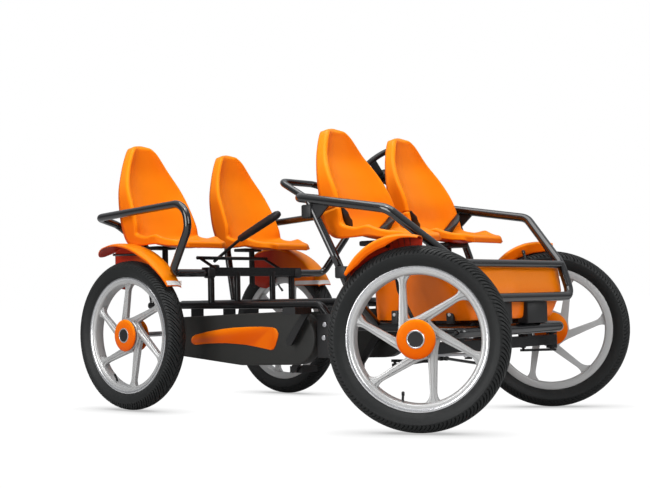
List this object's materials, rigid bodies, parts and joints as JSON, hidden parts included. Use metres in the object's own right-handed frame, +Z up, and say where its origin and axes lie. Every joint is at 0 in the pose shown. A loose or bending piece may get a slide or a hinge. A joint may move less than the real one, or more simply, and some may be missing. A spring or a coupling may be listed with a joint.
{
  "type": "four-seat pedal kart",
  "caption": "Four-seat pedal kart with bucket seats in two rows, spoked wheels, steering from the rear seat, pedal cranks, tube rails, fenders and a luggage tub.",
  "frame": {"origin": "on the ground under the middle of the overall box", "axes": "X forward, Y to the left, Z up"},
  "size_m": [1.9654, 1.2666, 1.0597],
  "materials": {
    "orange_plastic": "gloss moulded plastic",
    "black_paint": "gloss black powder coat on steel tube",
    "tyre_rubber": "matte rubber",
    "cast_alloy": "silver painted casting",
    "guard_plastic": "satin moulded plastic",
    "black_plastic": "satin moulded plastic",
    "crank_steel": "dark plated steel",
    "steel": "zinc plated steel"
  },
  "bodies": {
    "frame": {"main_frame": "black_paint", "front_axle": "black_paint", "rear_axle": "steel", "rear_seat_frame": "black_paint", "armrests": "black_paint", "surround_rail": "black_paint", "rail_posts": "black_paint", "front_bars": "black_paint", "bumper_brackets": "black_paint", "grab_handle": "black_paint", "tub": "orange_plastic", "tub_brackets": "black_paint", "rear_fenders": "orange_plastic", "fender_stays": "black_paint", "rear_seat_r": "orange_plastic", "rear_seat_l": "orange_plastic", "front_seat_bases": "orange_plastic", "front_seat_backs": "orange_plastic", "front_seat_hinges": "black_plastic", "seat_mounts": "black_plastic", "chain_guards": "guard_plastic", "guard_inserts": "orange_plastic", "brake_lever": "black_plastic", "column_bracket": "black_paint"},
    "wheel_rear_right": {"tyre_rr": "tyre_rubber", "wheel_rr": "cast_alloy", "cap_rr": "orange_plastic"},
    "wheel_rear_left": {"tyre_rl": "tyre_rubber", "wheel_rl": "cast_alloy", "cap_rl": "orange_plastic"},
    "wheel_front_right": {"tyre_fr": "tyre_rubber", "wheel_fr": "cast_alloy", "cap_fr": "orange_plastic"},
    "wheel_front_left": {"tyre_fl": "tyre_rubber", "wheel_fl": "cast_alloy", "cap_fl": "orange_plastic"},
    "knuckle_right": {"knuckle_r": "black_paint", "fender_fr": "orange_plastic", "fender_arm_r": "black_paint"},
    "knuckle_left": {"knuckle_l": "black_paint", "fender_fl": "orange_plastic", "fender_arm_l": "black_paint"},
    "tie_rod_right": {"tie_rod_r": "black_paint"},
    "tie_rod_left": {"tie_rod_l": "black_paint"},
    "bell_crank": {"bell_crank": "steel"},
    "drag_link": {"drag_link": "black_paint"},
    "pitman": {"pitman_shaft": "black_paint"},
    "middle_shaft": {"middle_shaft": "black_paint"},
    "column": {"steering_column": "black_paint", "steering_wheel": "black_plastic"},
    "crank_right": {"crank_r": "crank_steel", "pedals_r": "black_plastic"},
    "crank_left": {"crank_l": "crank_steel", "pedals_l": "black_plastic"}
  },
  "joints": [
    {"name": "steering", "type": "hinge", "parent": "frame", "child": "column", "pos_m": [0.14755, 0.262, 0.758], "axis": [-0.7071, 0, 0.7071], "range_deg": [-59.5, 3]},
    {"name": "middle_shaft_turn", "type": "hinge", "parent": "frame", "child": "middle_shaft", "pos_m": [0.22754, 0.262, 0.5], "axis": [-0.2962, 0, 0.9551], "range_deg": [-59.5, 3]},
    {"name": "pitman_turn", "type": "hinge", "parent": "frame", "child": "pitman", "pos_m": [0.22754, 0.262, 0.3], "axis": [0, 0, 1], "range_deg": [-59.5, 3]},
    {"name": "drag_link_swing", "type": "hinge", "parent": "pitman", "child": "drag_link", "pos_m": [0.28216, 0.29135, 0.18], "axis": [0, 0, 1], "range_deg": [-3, 59.5]},
    {"name": "bell_crank_turn", "type": "hinge", "parent": "frame", "child": "bell_crank", "pos_m": [0.57954, 0, 0.216], "axis": [0, 0, 1], "range_deg": [-59.5, 3]},
    {"name": "steer_right", "type": "hinge", "parent": "frame", "child": "knuckle_right", "pos_m": [0.67954, -0.396, 0.25], "axis": [0, 0, 1], "range_deg": [-59.5, 3]},
    {"name": "steer_left", "type": "hinge", "parent": "frame", "child": "knuckle_left", "pos_m": [0.67954, 0.396, 0.25], "axis": [0, 0, 1], "range_deg": [-59.5, 3]},
    {"name": "tie_rod_right_swing", "type": "hinge", "parent": "knuckle_right", "child": "tie_rod_right", "pos_m": [0.56988, -0.40463, 0.2], "axis": [0, 0, 1], "range_deg": [-3, 59.5]},
    {"name": "tie_rod_left_swing", "type": "hinge", "parent": "knuckle_left", "child": "tie_rod_left", "pos_m": [0.61182, 0.30932, 0.232], "axis": [0, 0, 1], "range_deg": [-3, 59.5]},
    {"name": "wheel_front_right_spin", "type": "hinge", "parent": "knuckle_right", "child": "wheel_front_right", "pos_m": [0.71479, -0.47335, 0.29], "axis": [-0.4147, 0.91, 0], "continuous": true},
    {"name": "wheel_front_left_spin", "type": "hinge", "parent": "knuckle_left", "child": "wheel_front_left", "pos_m": [0.6345, 0.46808, 0.29], "axis": [-0.5299, 0.848, 0], "continuous": true},
    {"name": "wheel_rear_right_spin", "type": "hinge", "parent": "frame", "child": "wheel_rear_right", "pos_m": [-0.69246, -0.4435, 0.29], "axis": [0, 1, 0], "continuous": true},
    {"name": "wheel_rear_left_spin", "type": "hinge", "parent": "frame", "child": "wheel_rear_left", "pos_m": [-0.69246, 0.4435, 0.29], "axis": [0, 1, 0], "continuous": true},
    {"name": "crank_right_spin", "type": "hinge", "parent": "frame", "child": "crank_right", "pos_m": [0.02254, -0.25, 0.268], "axis": [0, 1, 0], "continuous": true},
    {"name": "crank_left_spin", "type": "hinge", "parent": "frame", "child": "crank_left", "pos_m": [0.02254, 0.25, 0.268], "axis": [0, 1, 0], "continuous": true}
  ],
  "couplings": [
    {"joint": "middle_shaft_turn", "follows": "steering", "ratio": 1},
    {"joint": "pitman_turn", "follows": "steering", "ratio": 1},
    {"joint": "drag_link_swing", "follows": "steering", "ratio": -1},
    {"joint": "bell_crank_turn", "follows": "steering", "ratio": 1},
    {"joint": "steer_right", "follows": "steering", "ratio": 1},
    {"joint": "steer_left", "follows": "steering", "ratio": 1},
    {"joint": "tie_rod_right_swing", "follows": "steering", "ratio": -1},
    {"joint": "tie_rod_left_swing", "follows": "steering", "ratio": -1}
  ]
}
